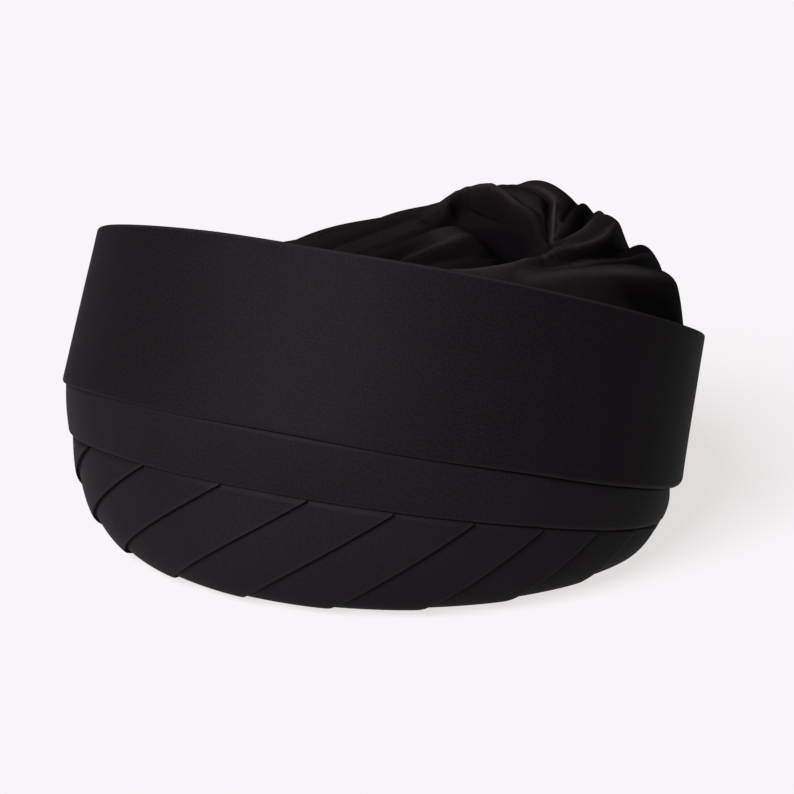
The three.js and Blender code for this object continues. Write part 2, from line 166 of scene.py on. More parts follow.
@dataclass(frozen=True)
class TurbanForm:
    """The sides that all the cloth lies on: a rounded base on its foot ring and a leaning oval wall."""

    foot_half_width: float = 92.5
    foot_half_length: float = 97.5
    foot_centre_y: float = 6.0
    foot_ring_width: float = 6.0
    foot_thickness: float = 4.0
    foot_rounding: float = 1.2
    wrap_half_width: float = 125.5
    wrap_half_length: float = 127.5
    wrap_centre_y: float = -27.0
    wrap_lean: float = 0.393
    round_front: float = 3.7
    round_back: float = 1.9
    rim: EdgeLine = EdgeLine(137.5, 98.5, 2.5, -0.7, 30)
    upper: EdgeLine = EdgeLine(75.3, 39.9, 0.9, 0, 10)
    lower: EdgeLine = EdgeLine(51.5, 22.6, 0.7, 0, 4.5)

    def wall(self, turn: np.ndarray, z: np.ndarray, out: np.ndarray | float) -> np.ndarray:
        """Points of the leaning wall that the upper wrap follows.

        Args:
            turn: Where round the turban.
            z: Their heights.
            out: How far outside the wrap's oval they lie.

        Returns:
            The points, one to a turn.
        """
        x = (self.wrap_half_width + out) * np.sin(turn)
        y = self.wrap_centre_y + self.wrap_lean * z - (self.wrap_half_length + out) * np.cos(turn)
        return np.stack([x, y, z + 0 * turn], -1)

    def foot(self, turn: np.ndarray, z: float, out: float) -> np.ndarray:
        """Points of the flat ring that the turban stands on.

        Args:
            turn: Where round the turban.
            z: Their height.
            out: How far outside the ring's outer oval they lie.

        Returns:
            The points, one to a turn.
        """
        x = (self.foot_half_width + out) * np.sin(turn)
        y = self.foot_centre_y - (self.foot_half_length + out) * np.cos(turn)
        return np.stack([x, y, z + 0 * turn], -1)

    def roundness(self, turn: np.ndarray) -> np.ndarray:
        """The power of the base's curve at each turn."""
        return mix(self.round_back, self.round_front, (1 + np.cos(turn)) / 2)

    def rounded(
        self, turn: np.ndarray, rise: np.ndarray, foot: np.ndarray, floor: float, out: float
    ) -> np.ndarray:
        """Points of the rounded base, between a foot and the wall at the upper wrap's lower edge.

        Args:
            turn: Where round the turban.
            rise: How far up the curve, from 0 at the foot to a quarter turn at the upper wrap's edge.
            foot: Where the curve starts.
            floor: The height of the foot.
            out: How far outside the wrap's oval the curve ends.

        Returns:
            The points, one to a turn.
        """
        power = 2 / self.roundness(turn)
        top = self.upper.height(turn)
        end = self.wall(turn, top, out)
        reach = np.sin(rise) ** power
        lift = 1 - np.cos(rise) ** power
        points = mix(foot, end, reach[..., None])
        points[..., 2] = mix(floor, top, lift)
        return points

    def rise_at(self, turn: np.ndarray, z: np.ndarray) -> np.ndarray:
        """The rise at which the base passes a height."""
        share = np.clip(z / self.upper.height(turn), 0, 1)
        return np.arccos((1 - share) ** (self.roundness(turn) / 2))

    def side(self, turn: np.ndarray, z: np.ndarray, out: np.ndarray | float) -> np.ndarray:
        """Points of the turban's side: on the base below the upper wrap, and on the wall above it.

        Args:
            turn: Where round the turban.
            z: Their heights.
            out: How far outside the side they lie.

        Returns:
            The points, one to a turn.
        """
        wall = self.wall(turn, z, out)
        base = self.rounded(turn, self.rise_at(turn, z), self.foot(turn, 0, out), 0, out)
        return np.where((z >= self.upper.height(turn))[..., None], wall, base)


class ClothWall:
    """Collects rings of points and makes a closed mesh of them, with a UV map in metres."""

    def __init__(self, columns: int) -> None:
        """Starts a wall without rings.

        Args:
            columns: How many points each ring has.
        """
        self.columns = columns
        self.rings: list[np.ndarray] = []
        self.wear_and_painted_light: list[np.ndarray] = []

    def ring(self, points: np.ndarray, wear_and_painted_light: np.ndarray | float = 0.0) -> None:
        """Adds the next ring with its wear and painted light: 1 where rubbed and highlit, -1 in painted
        shade.
        """
        self.rings.append(points)
        self.wear_and_painted_light.append(np.broadcast_to(wear_and_painted_light, (self.columns,)))

    def laid_flat(self) -> np.ndarray:
        """Where each point lies on the cloth when it is laid flat.

        Returns:
            Places in millimetres, by ring and by column, with the first column again after the last.
        """
        stack = np.array([np.vstack([ring, ring[:1]]) for ring in self.rings])
        along = np.cumsum(np.linalg.norm(np.diff(stack[0], axis=0), axis=1))
        up = np.cumsum(np.linalg.norm(np.diff(stack, axis=0), axis=2).mean(axis=1))
        along = np.concatenate([[0], along])
        up = np.concatenate([[0], up])
        return np.stack(np.broadcast_arrays(along[None, :], up[:, None]), -1)

    def fanned_out(self, centre: np.ndarray) -> np.ndarray:
        """Where each point lies on flat cloth that fans out from a centre, by ring and by column.

        Args:
            centre: The point at which the cloth is drawn together.

        Returns:
            Each point in its own plan direction, as many millimetres out as its own face runs to it.
        """
        stack = np.array([np.vstack([ring, ring[:1]]) for ring in self.rings])
        steps = np.linalg.norm(np.diff(stack, axis=0), axis=2)
        none = np.zeros_like(steps[:1])
        first, last = (np.linalg.norm(ring - centre, axis=1) for ring in (stack[0], stack[-1]))
        going_out = first + np.cumsum(np.vstack([none, steps]), axis=0)
        coming_in = last + np.cumsum(np.vstack([none, steps[::-1]]), axis=0)
        plan = stack[..., :2] - centre[:2]
        reach = np.minimum(going_out, coming_in[::-1])
        return centre[:2] + plan / np.linalg.norm(plan, axis=-1, keepdims=True) * reach[..., None]

    def strips(self, flat: np.ndarray, looped: bool) -> tuple[np.ndarray, np.ndarray]:
        """The quads between each ring and the next, and the flat places of their corners.

        Args:
            flat: Where each point lies on the flat cloth.
            looped: Whether the last ring joins the first.

        Returns:
            Point numbers by quad, and flat places by quad and corner.
        """
        count, rows = self.columns, len(self.rings)
        column = np.arange(count)
        after = (column + 1) % count
        quads, corners = [], []
        for row in range(rows if looped else rows - 1):
            here, there = row * count, (row + 1) % rows * count
            quads.append(np.stack([here + column, here + after, there + after, there + column], -1))
            above = flat[row + 1] if row + 1 < rows else flat[row] + np.array([0.0, 1.0])
            corners.append(np.stack([flat[row][:-1], flat[row][1:], above[1:], above[:-1]], 1))
        return np.concatenate(quads), np.concatenate(corners)

    def finish(
        self, name: str, origin: Vector, flat: np.ndarray, poles: list[np.ndarray] | None = None
    ) -> bpy.types.Object:
        """Makes the mesh, moved to the model's origin and turned to metres.

        Args:
            name: The piece's name.
            origin: What is added to every point, in millimetres.
            flat: Where each point lies on the flat cloth.
            poles: The points that close the first and the last ring, or None where these two meet.

        Returns:
            The new object, at the origin.
        """
        quads, corners = self.strips(flat, looped=poles is None)
        points = np.concatenate(self.rings)
        wear_and_painted_light = np.concatenate(self.wear_and_painted_light)
        faces = quads.tolist()
        uv = [corners.reshape(-1, 2)]
        if poles is not None:
            count, total = self.columns, len(points)
            points = np.vstack([points, *poles])
            wear_and_painted_light = np.concatenate([wear_and_painted_light, [0.0, 0.0]])
            for i in range(count):
                j = (i + 1) % count
                faces.append([total, j, i])
                uv.append(np.stack([poles[0][:2], flat[0][i + 1], flat[0][i]]))
            for i in range(count):
                j = (i + 1) % count
                faces.append([total - count + i, total - count + j, total + 1])
                uv.append(np.stack([flat[-1][i], flat[-1][i + 1], poles[1][:2]]))
        mesh = bpy.data.meshes.new(name)
        mesh.from_pydata(((points + np.array(origin)) * MM).tolist(), [], faces)
        layer = mesh.uv_layers.new(name="cloth")
        layer.data.foreach_set("uv", (np.concatenate(uv) * MM).astype(np.float32).ravel())
        # Per point wear and painted light: rubbed edges, painted highlights, and painted shade below 0.
        wear_and_light_layer = mesh.attributes.new(name="wear_and_painted_light", type="FLOAT", domain="POINT")
        wear_and_light_layer.data.foreach_set("value", wear_and_painted_light.astype(np.float32))
        mesh.update()
        mesh.shade_smooth()
        piece = bpy.data.objects.new(name, mesh)
        bpy.context.scene.collection.objects.link(piece)
        return piece


@dataclass(frozen=True)
class ClothStack:
    """How thick the layers are, and how far each one stands proud of the one under it."""

    base_wall: float = 4.5
    lower_wall: float = 2.1
    upper_wall: float = 2.4
    crown_wall: float = 2.2
    lower_step: float = 1.9
    upper_step: float = 1.2
    seat_gap: float = 0.3
    tuck_depth: float = 0.4
    lower_overlap: float = 6.0
    base_overlap: float = 3.0

    @property
    def upper_out(self) -> float:
        """Outer face of the upper wrap, outside the wrap's oval."""
        return self.lower_step + self.upper_step

    @property
    def upper_in(self) -> float:
        """Inner face of the upper wrap."""
        return self.upper_out - self.upper_wall

    @property
    def lower_tucked_out(self) -> float:
        """Outer face of the lower wrap where it is tucked in."""
        return self.upper_in - self.seat_gap

    @property
    def lower_in(self) -> float:
        """Inner face of the lower wrap."""
        return self.lower_tucked_out - self.lower_wall

    @property
    def base_tucked_out(self) -> float:
        """Outer face of the base where it is tucked in."""
        return self.lower_in - self.seat_gap

    @property
    def base_in(self) -> float:
        """Inner face of the base."""
        return self.base_tucked_out - self.base_wall

    @property
    def crown_out(self) -> float:
        """Outer face of the crown's skirt."""
        return self.upper_in - self.seat_gap

    @property
    def crown_in(self) -> float:
        """Inner face of the crown's skirt."""
        return self.crown_out - self.crown_wall


@dataclass(frozen=True)
class Laid:
    """What every piece is laid on: the turban's form, its layers, and where the model's origin is."""

    form: TurbanForm
    stack: ClothStack
    origin: Vector


@dataclass(frozen=True)
class FoldedEdge:
    """A folded cloth edge, which turns from one face of a wall to the other.

    A lower edge is gone round from the inner face to the outer one. The wear, which also paints a thin
    highlight line along the fold, follows sin(a) * (1 + cos(a)), where a is the angle round from the outer
    face. Its most is 1.3, at 60 degrees.
    """

    line: np.ndarray
    outer: np.ndarray
    inner: float
    wear_and_painted_light: float
    lower: bool = False
    rings: int = 9
    most: float = 1.3
    narrowness: int = 3

    def add_to(self, wall: ClothWall, form: TurbanForm) -> None:
        """Adds the edge's rings to a wall.

        Args:
            wall: The wall that gets them.
            form: What the wall lies on.
        """
        turn = turns(wall.columns)
        radius = (self.outer - self.inner) / 2
        angles = np.linspace(0, math.pi, self.rings)
        for angle in angles[::-1] if self.lower else angles:
            bulge = radius - radius * math.sin(angle)
            height = self.line + (bulge if self.lower else -bulge)
            out = self.inner + radius + radius * math.cos(angle)
            share = math.sin(angle) * (1 + math.cos(angle)) / self.most
            wall.ring(form.side(turn, height, out), self.wear_and_painted_light * share**self.narrowness)


class Shade(Enum):
    """The dyed cloth's colours, from painted shade and deep dye to rubbed edges and painted highlights."""

    # Painted shade: a near black that darkens the crown's dents and the cloth under its lapped edges.
    PAINTED_HOLLOW_SHADE = "#040304"
    DEEP = "#050405"
    PLAIN = "#090709"
    # Lighter copies of DEEP and PLAIN for the narrow wrap and the pleats, painting the brighter light they
    # get.
    LOW_DEEP_PAINTED_LIGHTER = "#070607"
    LOW_PLAIN_PAINTED_LIGHTER = "#0c0a0c"
    # The pale colour of grain flecks and rubbed edges, which also paints highlights on edges and crests.
    RUBBED_AND_HIGHLIT = "#201c1f"
    # The crown's own shades; its pale one paints the highlights on its lapped edges and raised folds.
    DRAPED_DEEP = "#0a0708"
    DRAPED_PLAIN = "#0f0c0d"
    DRAPED_RUBBED_AND_HIGHLIT = "#272224"


def linear(colour: str) -> tuple[float, float, float, float]:
    """Turns an sRGB hex colour to the linear one that the shaders take."""
    parts = [int(colour[i : i + 2], 16) / 255 for i in (1, 3, 5)]
    return (*(p / 12.92 if p <= 0.04045 else ((p + 0.055) / 1.055) ** 2.4 for p in parts), 1.0)


def add_node(
    tree: bpy.types.NodeTree,
    kind: str,
    settings: dict[str, object] | None = None,
    numbered: dict[int, object] | None = None,
    **named: object,
) -> bpy.types.Node:
    """Adds a node to a tree with its settings and its inputs.

    Args:
        tree: The tree that gets the node.
        kind: The node's Blender type.
        settings: Its properties by name.
        numbered: By socket number, a value or the output socket that feeds it.
        **named: The same by socket name, with spaces as underscores.

    Returns:
        The new node.
    """
    node = tree.nodes.new(kind)
    for name, value in (settings or {}).items():
        setattr(node, name, value)
    inputs = {name.replace("_", " "): value for name, value in named.items()}
    for key, value in {**inputs, **(numbered or {})}.items():
        socket = node.inputs[key]
        if isinstance(value, bpy.types.NodeSocket):
            tree.links.new(value, socket)
        else:
            socket.default_value = value
    return node


@dataclass(frozen=True)
class Stretch:
    """How a pattern's values are stretched: two that are read, and the two that they are turned to."""

    low: float
    high: float
    to_low: float = 0.0
    to_high: float = 1.0

    def sockets(self) -> dict[str, float]:
        """The same, by the socket names of a Map Range node."""
        names = ("From_Min", "From_Max", "To_Min", "To_Max")
        return dict(zip(names, (self.low, self.high, self.to_low, self.to_high)))


@dataclass(frozen=True)
class BlackCrepe:
    """Black cotton crepe, piece-dyed: hard twisted yarn that makes a fine pebbled, matt surface.

    It gives the eye a low, broad gloss, a fine grain, tones that drift a little from place to place, fold
    edges that are lighter, partly rubbed and partly a painted highlight, and hollows darkened with painted
    shade.
    """

    name: str
    grain: float = 0.85
    drift: float = 45.0
    roughness: float = 0.68
    gloss: float = 0.036
    grain_depth: float = 0.07
    tones: Stretch = Stretch(0.3, 0.7, 0.35, 1.0)
    flecks: Stretch = Stretch(0.35, 0.75, 0.0, 0.24)
    # Painted shade: values below 0 darken the colour towards the hollow colour, a painted near black.
    painted_shade: Stretch = Stretch(0.0, -1.0)
    hollow: Shade = Shade.PAINTED_HOLLOW_SHADE
    deep: Shade = Shade.DEEP
    plain: Shade = Shade.PLAIN
    # The pale colour, for grain flecks and rubbed edges, which also paints the highlights.
    rubbed_and_highlit: Shade = Shade.RUBBED_AND_HIGHLIT

    def make(self) -> bpy.types.Material:
        """Builds the material's nodes.

        The real pebble is about 0.5 mm, finer than the picture shows, so it is drawn nearly twice as
        coarse.

        Returns:
            The material.
        """
        material = bpy.data.materials.new(self.name)
        material.use_nodes = True
        tree = material.node_tree
        tree.nodes.clear()
        fine = {"Scale": 1 / (self.grain * MM), "Detail": 2.0, "Roughness": 0.6}
        broad = {"Scale": 1 / (self.drift * MM), "Detail": 3.0, "Roughness": 0.55}
        coloured = {"data_type": "RGBA"}
        summed = {"operation": "ADD", "use_clamp": True}
        cloth = add_node(tree, "ShaderNodeUVMap", {"uv_map": "cloth"})
        place = add_node(tree, "ShaderNodeTexCoord")
        pebble = add_node(tree, "ShaderNodeTexNoise", Vector=cloth.outputs["UV"], **fine)
        drift = add_node(tree, "ShaderNodeTexNoise", Vector=place.outputs["Object"], **broad)
        tone = add_node(tree, "ShaderNodeMapRange", Value=drift.outputs["Fac"], **self.tones.sockets())
        dyes = {FIRST_COLOUR: linear(self.deep.value), SECOND_COLOUR: linear(self.plain.value)}
        dye = add_node(tree, "ShaderNodeMix", coloured, dyes, Factor=tone.outputs["Result"])
        fleck = add_node(tree, "ShaderNodeMapRange", Value=pebble.outputs["Fac"], **self.flecks.sockets())
        # The attribute holds wear and painted light: above 0 it lightens for rubbed edges and painted
        # highlights.
        wear_and_painted_light = add_node(tree, "ShaderNodeAttribute", {"attribute_name": "wear_and_painted_light"})
        terms = {0: fleck.outputs["Result"], 1: wear_and_painted_light.outputs["Fac"]}
        paler = add_node(tree, "ShaderNodeMath", summed, terms)
        dyes = {FIRST_COLOUR: dye.outputs[MIXED_COLOUR], SECOND_COLOUR: linear(self.rubbed_and_highlit.value)}
        colour = add_node(tree, "ShaderNodeMix", coloured, dyes, Factor=paler.outputs["Value"])
        # Painted shade: values below 0 mix the colour towards the near black of the hollows.
        painted_shade = add_node(tree, "ShaderNodeMapRange", Value=wear_and_painted_light.outputs["Fac"], **self.painted_shade.sockets())
        dyes = {FIRST_COLOUR: colour.outputs[MIXED_COLOUR], SECOND_COLOUR: linear(self.hollow.value)}
        shaded = add_node(tree, "ShaderNodeMix", coloured, dyes, Factor=painted_shade.outputs["Result"])
        relief = {"Strength": 0.5, "Distance": self.grain_depth * MM}
        bump = add_node(tree, "ShaderNodeBump", Height=pebble.outputs["Fac"], **relief)
        surface = add_node(
            tree,
            "ShaderNodeBsdfPrincipled",
            Base_Color=shaded.outputs[MIXED_COLOUR],
            Roughness=self.roughness,
            Specular_IOR_Level=self.gloss,
            Normal=bump.outputs["Normal"],
        )
        add_node(tree, "ShaderNodeOutputMaterial", Surface=surface.outputs["BSDF"])
        return material


@dataclass
class UpperBand:
    """The tall wrap, folded at its lower edge and at its free rim, and fuller at the back."""

    laid: Laid
    columns: int = 420
    face_rows: int = 26
    lining_rows: int = 8
    back_fullness: float = 5.5
    fullness_power: float = 1.5
    low_waver: Waver = Waver(0.35, 18, 3)
    rim_waver: Waver = Waver(0.35, 16, 5)
    face_waver: Waver = Waver(0.35, 14, 11)
    waves_up: float = 1.6
    # Wear on the folded edges, which also paints a thin highlight line along them.
    low_wear_and_highlight: float = 0.5
    rim_wear_and_highlight: float = 0.6

    def face(self, turn: np.ndarray, share: float) -> np.ndarray:
        """How far out the outer face lies.

        Args:
            turn: Where round the turban.
            share: How far up the band, from 0 at its lower edge to 1 at its rim.

        Returns:
            Millimetres outside the wrap's oval, one to a turn.
        """
        fuller = self.back_fullness * (1 - share) * ((1 - np.cos(turn)) / 2) ** self.fullness_power
        waves = self.face_waver.at(turn, share * self.waves_up)
        return self.laid.stack.upper_out + fuller + waves * math.sin(math.pi * share)

    def build(self) -> bpy.types.Object:
        """Makes the band's wall.

        Returns:
            The piece.
        """
        form, inner = self.laid.form, self.laid.stack.upper_in
        turn = turns(self.columns)
        low = form.upper.height(turn) + self.low_waver.at(turn)
        rim = form.rim.height(turn) + self.rim_waver.at(turn)
        foot, top = self.face(turn, 0), self.face(turn, 1)
        low_end, high_end = low + (foot - inner) / 2, rim - (top - inner) / 2
        wall = ClothWall(self.columns)
        FoldedEdge(low, foot, inner, self.low_wear_and_highlight, lower=True).add_to(wall, form)
        for share in np.linspace(0, 1, self.face_rows + 2)[1:-1]:
            wall.ring(form.wall(turn, mix(low_end, high_end, share), self.face(turn, float(share))))
        FoldedEdge(rim, top, inner, self.rim_wear_and_highlight).add_to(wall, form)
        for share in np.linspace(1, 0, self.lining_rows + 2)[1:-1]:
            wall.ring(form.wall(turn, mix(low_end, high_end, share), inner))
        return wall.finish("upper_wrap", self.laid.origin, wall.laid_flat())

    def dress(self, piece: bpy.types.Object, cloth: bpy.types.Material) -> None:
        """Gives the band its cloth and its place in the model.

        Args:
            piece: The band as built.
            cloth: Its material.
        """
        piece.data.materials.append(cloth)
        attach(piece, "root")
        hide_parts("upper_band")


@dataclass
class LowerBand:
    """The narrow wrap, folded at its lower edge and tucked in under the upper wrap."""

    laid: Laid
    columns: int = 420
    face_rows: int = 14
    lining_rows: int = 6
    fullness: float = 0.35
    edge_waver: Waver = Waver(0.3, 17, 8)
    # Wear on the folded edge, which also paints a thin highlight line along it.
    edge_wear_and_highlight: float = 0.8

    def build(self) -> bpy.types.Object:
        """Makes the band's wall.

        Returns:
            The piece.
        """
        form, stack = self.laid.form, self.laid.stack
        turn = turns(self.columns)
        tuck = form.upper.height(turn)
        low = form.lower.height(turn) + self.edge_waver.at(turn)
        outer = turn * 0 + stack.lower_step
        low_end, high_end = low + (stack.lower_step - stack.lower_in) / 2, tuck - stack.tuck_depth
        wall = ClothWall(self.columns)
        FoldedEdge(low, outer, stack.lower_in, self.edge_wear_and_highlight, lower=True).add_to(wall, form)
        for share in np.linspace(0, 1, self.face_rows + 1)[1:]:
            out = stack.lower_step + self.fullness * math.sin(math.pi * float(share))
            wall.ring(form.side(turn, mix(low_end, high_end, share), out))
        for height, out in (
            (tuck, stack.lower_tucked_out),
            (tuck + stack.lower_overlap, stack.lower_tucked_out),
            (tuck + stack.lower_overlap, stack.lower_in),
            (tuck, stack.lower_in),
        ):
            wall.ring(form.side(turn, height, out))
        for share in np.linspace(1, 0, self.lining_rows + 2)[1:-1]:
            wall.ring(form.side(turn, mix(low_end, high_end, share), stack.lower_in))
        return wall.finish("lower_wrap", self.laid.origin, wall.laid_flat())

    def dress(self, piece: bpy.types.Object, cloth: bpy.types.Material) -> None:
        """Gives the band its cloth and its place in the model.

        Args:
            piece: The band as built.
            cloth: Its material.
        """
        piece.data.materials.append(cloth)
        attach(piece, "root")
        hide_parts("lower_band")


@dataclass
class PleatedBase:
    """The rounded base: slanting pleats, each laid over the next like a shingle, and the foot ring.

    A row of the section is one point across a pleat: where it lies, as a share of the pleat's width, and
    how far it stands out, as a share of the pleats' own.
    """

    laid: Laid
    count: int = 21
    first: float = -44.7
    lean: float = 37.0
    lean_rounds: int = 12
    stand: float = 1.7
    fade_height: float = 6.0
    # Wear along each pleat's fold, which also paints a thin highlight line there.
    fold_wear_and_highlight: float = 0.25
    fold_middle: float = 0.97
    fold_reach: float = 0.025
    rows: int = 54
    row_power: float = 0.9
    lining_rows: tuple[float, ...] = (1, 0.85, 0.7, 0.55, 0.4, 0.28, 0.16, 0.07, 0)
    section: tuple[tuple[float, float], ...] = (
        (-0.045, 0.04),
        (-0.01, 0.07),
        (0.03, 0.10),
        (0.10, 0.17),
        (0.19, 0.27),
        (0.29, 0.38),
        (0.40, 0.50),
        (0.51, 0.61),
        (0.62, 0.72),
        (0.72, 0.82),
        (0.81, 0.90),
        (0.885, 0.96),
        (0.935, 0.995),
        (0.966, 1.0),
        (0.984, 0.965),
        (0.994, 0.89),
        (0.997, 0.78),
        (0.992, 0.67),
        (0.98, 0.60),
        (0.965, 0.53),
        (0.955, 0.30),
    )

    def top(self, turn: np.ndarray) -> np.ndarray:
        """Height at which the pleats tuck in under the lower wrap."""
        return self.laid.form.lower.height(turn) - self.laid.stack.tuck_depth

    def under(self, turn: np.ndarray, share: float, extra: float) -> np.ndarray:
        """Points of the base under its pleats.

        Args:
            turn: Where round the turban.
            share: How far up the curve, from 0 at the foot to 1 where the pleats tuck in.
            extra: What is added to the rise along the curve.

        Returns:
            The points, one to a turn.
        """
        form = self.laid.form
        rise = form.rise_at(turn, self.top(turn)) * share + extra
        return form.rounded(turn, rise, form.foot(turn, 0, 0), 0, 0)

    def leaning(self, start: np.ndarray, share: float) -> np.ndarray:
        """The turns that the leaning pleat lines reach.

        Args:
            start: Where each line starts at the foot.
            share: How far up the curve.

        Returns:
            The turns, one to a line.
        """
        turn = start
        for _ in range(self.lean_rounds):
            climbed = self.under(turn, share, 0)[:, 2] / self.laid.form.lower.front
            turn = start + math.radians(self.lean) * climbed
        return turn

    def face(self, start: np.ndarray, share: float, rise: np.ndarray, step: float = 0.01) -> np.ndarray:
        """Points of the pleated face, which stand out square to the curve.

        Args:
            start: Where each column's line starts at the foot.
            share: How far up the curve.
            rise: How far out each column stands, as a share of the pleats' own.
            step: The piece of the curve that they stand square to.

        Returns:
            The points, one to a column.
        """
        turn = self.leaning(start, share)
        here = self.under(turn, share, 0)
        ahead = self.under(turn, share, step)
        up = ahead[:, 2] - here[:, 2]
        outwards = np.hypot(ahead[:, 0] - here[:, 0], ahead[:, 1] - here[:, 1])
        length = np.hypot(up, outwards)
        stand = self.stand * rise * smooth(here[:, 2] / self.fade_height)
        here[:, 0] += np.sin(turn) * stand * up / length
        here[:, 1] -= np.cos(turn) * stand * up / length
        here[:, 2] = np.maximum(here[:, 2] - stand * outwards / length, 0)
        return here

    def build(self) -> bpy.types.Object:
        """Makes the base's wall.

        Returns:
            The piece.
        """
        form, stack = self.laid.form, self.laid.stack
        across, rise = np.tile(np.array(self.section).T, self.count)
        pleat = np.repeat(np.arange(self.count), len(self.section))
        start = np.radians(self.first + (pleat + across) * 360 / self.count)
        fold = np.exp(-(((across - self.fold_middle) / self.fold_reach) ** 2))
        wall = ClothWall(len(start))
        for share in np.linspace(0, 1, self.rows) ** self.row_power:
            points = self.face(start, float(share), rise)
            # Each pleat's fold is lightened along a thin line: wear, and a painted highlight.
            wall.ring(points, self.fold_wear_and_highlight * fold * smooth(points[:, 2] / self.fade_height))
        turn = self.leaning(start, 1)
        top = form.upper.height(turn) + stack.base_overlap
        for height in (form.lower.height(turn) + stack.seat_gap, form.upper.height(turn), top):
            wall.ring(form.side(turn, height, stack.base_tucked_out))
        wall.ring(form.wall(turn, top, stack.base_in))
        for share in self.lining_rows:
            lining = mix(start, turn, share)
            inner_foot = form.foot(lining, 0, -form.foot_ring_width)
            quarter = np.full_like(lining, share * math.pi / 2)
            wall.ring(form.rounded(lining, quarter, inner_foot, form.foot_thickness, stack.base_in))
        wall.ring(form.foot(start, form.foot_rounding, -form.foot_ring_width))
        wall.ring(form.foot(start, 0, form.foot_rounding - form.foot_ring_width))
        return wall.finish("pleated_wrap", self.laid.origin, wall.laid_flat())

    def dress(self, piece: bpy.types.Object, cloth: bpy.types.Material) -> None:
        """Gives the base its cloth and its place in the model.

        Args:
            piece: The base as built.
            cloth: Its material.
        """
        piece.data.materials.append(cloth)
        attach(piece, "root")
        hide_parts("pleated_base", "base_hem")


class FoldForm(Enum):
    """How a fold's cloth stands: a soft roll, a sharp crease, or an edge over what is right of it."""

    ROUND = "round"
    SHARP = "sharp"
    LAPPED = "lapped"


@dataclass(frozen=True)
class Fold:
    """A fold of the crown, along points in shares of the wrap's half width and half length.

    The widths and heights are shares of the drape's own, and each row of them is spread evenly along the
    fold. A lapped fold also falls away, as deep as its falls say, on the right of its run. Its edge gets a
    painted highlight line, and turned says how many times wider than usual the cloth turns over there.
    """

    name: str
    form: FoldForm
    points: tuple[tuple[float, float], ...]
    widths: tuple[float, ...]
    rises: tuple[float, ...]
    falls: tuple[float, ...] = (0.0,)
    fall_widths: tuple[float, ...] = (0.5,)
    edge_highlight: float = 1.0
    turned: float = 1.0

    def line(self, half_width: float, half_length: float, steps: int = 24) -> np.ndarray:
        """Points in millimetres along the smooth curve that the inner points pull on.

        Args:
            half_width: What an across share of 1 stands for.
            half_length: What an along share of 1 stands for.
            steps: The least number of pieces in the curve.

        Returns:
            The curve's points, from the fold's start to its end.
        """
        corners = np.array(self.points) * [half_width, half_length]
        joints = [corners[0], *((corners[1:-2] + corners[2:-1]) / 2), corners[-1]]
        t = np.linspace(0, 1, math.ceil(steps / (len(joints) - 1)) + 1)[:, None]
        pieces = [
            ((1 - t) ** 2 * start + 2 * t * (1 - t) * pull + t**2 * end)[1:]
            for start, pull, end in zip(joints[:-1], corners[1:-1], joints[1:])
        ]
        return np.vstack([corners[:1], *pieces])


def beside(line: np.ndarray, x: np.ndarray, y: np.ndarray) -> tuple[np.ndarray, np.ndarray, np.ndarray]:
    """How plan points lie beside a line.

    Args:
        line: The line's points, in its run.
        x: Plan places across.
        y: Plan places along.

    Returns:
        How far off the line is, the share of its run at which it is nearest, and how far to its left a
        point lies, square to the line there.
    """
    nearest, along, side = np.full_like(x, np.inf), np.zeros_like(x), np.zeros_like(x)
    for step, (a, b) in enumerate(zip(line[:-1], line[1:])):
        run = b - a
        share = np.clip(((x - a[0]) * run[0] + (y - a[1]) * run[1]) / (run @ run), 0, 1)
        distance = np.hypot(x - a[0] - share * run[0], y - a[1] - share * run[1])
        left = (run[0] * (y - a[1]) - run[1] * (x - a[0])) / math.hypot(*run)
        closer = distance < nearest
        nearest = np.where(closer, distance, nearest)
        along = np.where(closer, (step + share) / (len(line) - 1), along)
        side = np.where(closer, left, side)
    return nearest, along, side


@dataclass(frozen=True)
class Puckers:
    """Small uneven wrinkles that run into the gather and die away from it.

    Their height is a share of the crown's own pucker. The count is how many go round the gather, and the
    start moves them along their pattern.
    """

    share: float
    count: int
    length: float
    reach: float
    seed: int
    start: float = 0.0

    def heights(self, angle: np.ndarray, distance: np.ndarray) -> np.ndarray:
        """Their heights at shares of the way round the gather, and at distances from it."""
        waves = ripple(angle * self.count, distance / self.length + self.start, self.seed, self.count)
        return self.share * waves * np.exp(-distance / self.reach)


ROUND, SHARP, LAPPED = FoldForm.ROUND, FoldForm.SHARP, FoldForm.LAPPED
